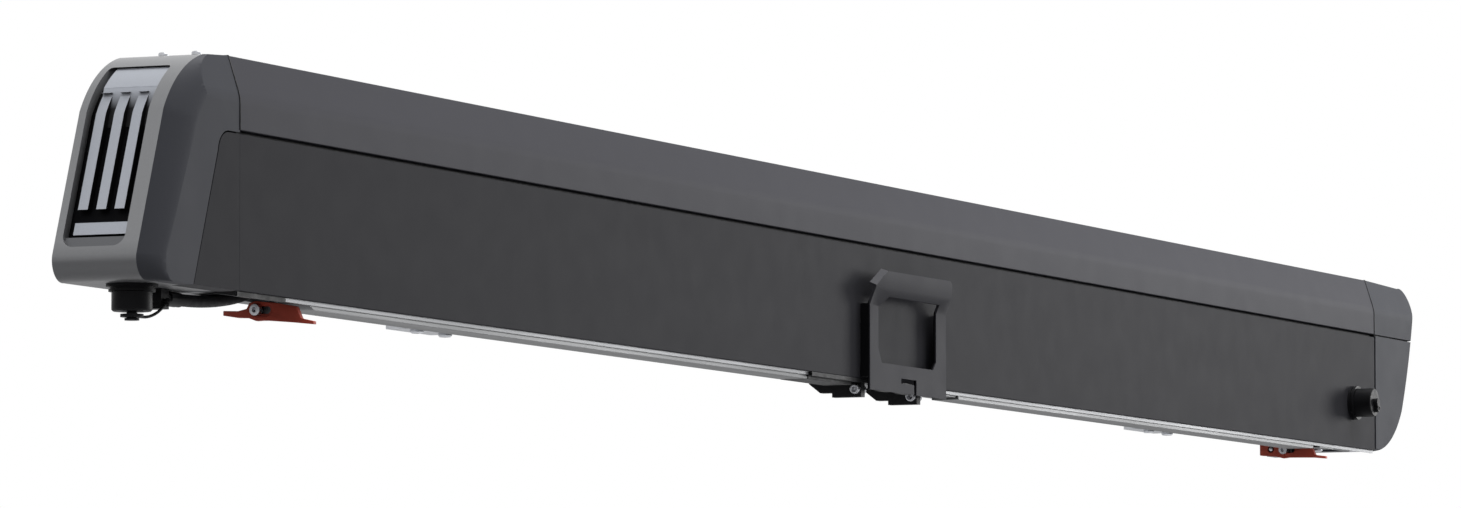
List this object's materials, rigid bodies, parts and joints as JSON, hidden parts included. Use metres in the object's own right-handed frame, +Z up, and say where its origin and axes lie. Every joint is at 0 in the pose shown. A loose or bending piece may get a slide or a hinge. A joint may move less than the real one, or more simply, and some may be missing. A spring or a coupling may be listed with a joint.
{
  "type": "retractable awning",
  "caption": "Closed cassette awning for a camper van wall, with folding arms, a spring roller and swing-down legs under its front rail.",
  "frame": {"origin": "centre of the wall bolt pattern, on the wall plane, halfway along the cassette", "axes": "+X along the cassette to its right end seen from the front, +Y into the wall, +Z up"},
  "size_m": [2.769, 0.1115, 0.2025],
  "materials": {
    "anthracite": "fine satin powder coat",
    "cap_anthracite": "fine texture",
    "band_silver": "silver metallic paint",
    "grille_silver": "satin silver",
    "bare_aluminium": "mill finish, drawn along its length",
    "arm_white": "light grey powder coat",
    "casting": "cast, blasted",
    "zinc_steel": "zinc plated",
    "black_plastic": "semi gloss",
    "black_moulding": "fine texture",
    "lock_red": "satin",
    "soft_black": "matt",
    "canopy": "coated weave"
  },
  "bodies": {
    "cassette": {"back_housing": "bare_aluminium", "hood_profile": "anthracite", "hood_seal": "soft_black", "left_end_cap": "cap_anthracite", "left_end_band": "band_silver", "left_grille_insert": "grille_silver", "right_end_cap": "cap_anthracite", "right_end_band": "band_silver", "right_grille_insert": "grille_silver", "end_cap_screws": "zinc_steel", "wall_bracket_left": "zinc_steel", "wall_bracket_right": "zinc_steel", "bracket_screws": "zinc_steel", "roller_bracket_left": "casting", "roller_bracket_right": "casting", "roller_bushes": "black_moulding", "shoulder_bracket_left": "casting", "shoulder_bracket_right": "casting", "shoulder_pins": "zinc_steel", "power_socket": "black_plastic", "power_tether": "soft_black", "tether_ends": "black_plastic", "cable_gland": "black_plastic", "power_cable": "soft_black"},
    "roller": {"roller_tube": "zinc_steel", "roller_plug_left": "black_moulding", "roller_plug_right": "black_moulding", "spring_unit": "zinc_steel", "canopy_roll": "canopy"},
    "canopy_front": {"canopy_sheet": "canopy"},
    "left_upper_arm": {"upper_arm_left": "arm_white", "upper_arm_ends_left": "casting"},
    "left_forearm": {"forearm_left": "arm_white", "forearm_ends_left": "casting"},
    "right_upper_arm": {"upper_arm_right": "arm_white", "upper_arm_ends_right": "casting"},
    "right_forearm": {"forearm_right": "arm_white", "forearm_ends_right": "casting"},
    "lead_rail": {"lead_rail_profile": "bare_aluminium", "front_panel": "anthracite", "left_rail_cap": "cap_anthracite", "right_rail_cap": "cap_anthracite", "wrist_bracket_left": "casting", "wrist_bracket_right": "casting", "leg_hinges": "casting", "handle_plate": "anthracite", "handle_mount": "black_moulding", "led_socket": "black_plastic", "latch_hangers": "casting", "rail_screws": "zinc_steel"},
    "left_leg": {"leg_outer_left": "bare_aluminium"},
    "left_leg_inner": {"leg_inner_left": "bare_aluminium"},
    "left_foot": {"foot_left": "black_moulding"},
    "right_leg": {"leg_outer_right": "bare_aluminium"},
    "right_leg_inner": {"leg_inner_right": "bare_aluminium"},
    "right_foot": {"foot_right": "black_moulding"},
    "left_latch": {"latch_left": "lock_red"},
    "right_latch": {"latch_right": "lock_red"},
    "power_dust_cap": {"power_cap": "black_plastic"},
    "front_dust_cap": {"led_cap": "black_plastic"}
  },
  "joints": [
    {"name": "left_shoulder", "type": "hinge", "parent": "cassette", "child": "left_upper_arm", "pos_m": [-1.14, -0.026, -0.034], "axis": [0, 0, -1], "range_deg": [0, 60]},
    {"name": "left_elbow", "type": "hinge", "parent": "left_upper_arm", "child": "left_forearm", "pos_m": [-0.09, -0.03925, -0.034], "axis": [0, 0, 1], "range_deg": [0, 120]},
    {"name": "left_wrist", "type": "hinge", "parent": "left_forearm", "child": "lead_rail", "pos_m": [-1.14, -0.0525, -0.034], "axis": [0, 0, -1], "range_deg": [0, 60]},
    {"name": "right_shoulder", "type": "hinge", "parent": "cassette", "child": "right_upper_arm", "pos_m": [1.14, -0.026, -0.034], "axis": [0, 0, 1], "range_deg": [0, 60]},
    {"name": "right_elbow", "type": "hinge", "parent": "right_upper_arm", "child": "right_forearm", "pos_m": [0.09, -0.03925, -0.034], "axis": [0, 0, -1], "range_deg": [0, 120]},
    {"name": "canopy_feed", "type": "slide", "parent": "cassette", "child": "canopy_front", "axis": [0, -1, 0], "range_m": [0, 1.806], "deforming": ["canopy_sheet"]},
    {"name": "roller_spin", "type": "hinge", "parent": "cassette", "child": "roller", "pos_m": [0, -0.0428, 0.047], "axis": [-1, 0, 0], "range_deg": [0, 3640]},
    {"name": "left_leg_swing", "type": "hinge", "parent": "lead_rail", "child": "left_leg", "pos_m": [-1.12, -0.0675, -0.0802], "axis": [0, 1, 0], "range_deg": [0, 90]},
    {"name": "left_leg_slide", "type": "slide", "parent": "left_leg", "child": "left_leg_inner", "axis": [1, 0, 0], "range_m": [0, 0.59]},
    {"name": "left_foot_tilt", "type": "hinge", "parent": "left_leg_inner", "child": "left_foot", "pos_m": [-0.093, -0.0675, -0.0802], "axis": [0, 1, 0], "range_deg": [0, 25]},
    {"name": "right_leg_swing", "type": "hinge", "parent": "lead_rail", "child": "right_leg", "pos_m": [1.07, -0.0675, -0.0802], "axis": [0, -1, 0], "range_deg": [0, 90]},
    {"name": "right_leg_slide", "type": "slide", "parent": "right_leg", "child": "right_leg_inner", "axis": [-1, 0, 0], "range_m": [0, 0.605]},
    {"name": "right_foot_tilt", "type": "hinge", "parent": "right_leg_inner", "child": "right_foot", "pos_m": [0.058, -0.0675, -0.0802], "axis": [0, -1, 0], "range_deg": [0, 25]},
    {"name": "left_lock_slide", "type": "slide", "parent": "lead_rail", "child": "left_latch", "axis": [0, 1, 0], "range_m": [0, 0.008]},
    {"name": "right_lock_slide", "type": "slide", "parent": "lead_rail", "child": "right_latch", "axis": [0, 1, 0], "range_m": [0, 0.008]},
    {"name": "power_cap_turn", "type": "hinge", "parent": "cassette", "child": "power_dust_cap", "pos_m": [-1.343, -0.045, -0.1], "axis": [0, 0, 1], "range_deg": [0, 90]},
    {"name": "front_cap_turn", "type": "hinge", "parent": "lead_rail", "child": "front_dust_cap", "pos_m": [1.184, -0.1, -0.04], "axis": [0, 1, 0], "range_deg": [0, 90]}
  ],
  "couplings": [
    {"joint": "left_elbow", "follows": "left_shoulder", "ratio": 2},
    {"joint": "left_wrist", "follows": "left_shoulder", "ratio": 1},
    {"joint": "right_shoulder", "follows": "left_shoulder", "ratio": 1},
    {"joint": "right_elbow", "follows": "left_shoulder", "ratio": 2},
    {"joint": "canopy_feed", "follows": "left_shoulder", "m_per_rad": 1.724},
    {"joint": "roller_spin", "follows": "left_shoulder", "ratio": 60.5},
    {"joint": "left_leg_slide", "follows": "left_leg_swing", "m_per_rad": 0.37561},
    {"joint": "right_leg_slide", "follows": "right_leg_swing", "m_per_rad": 0.38515}
  ]
}
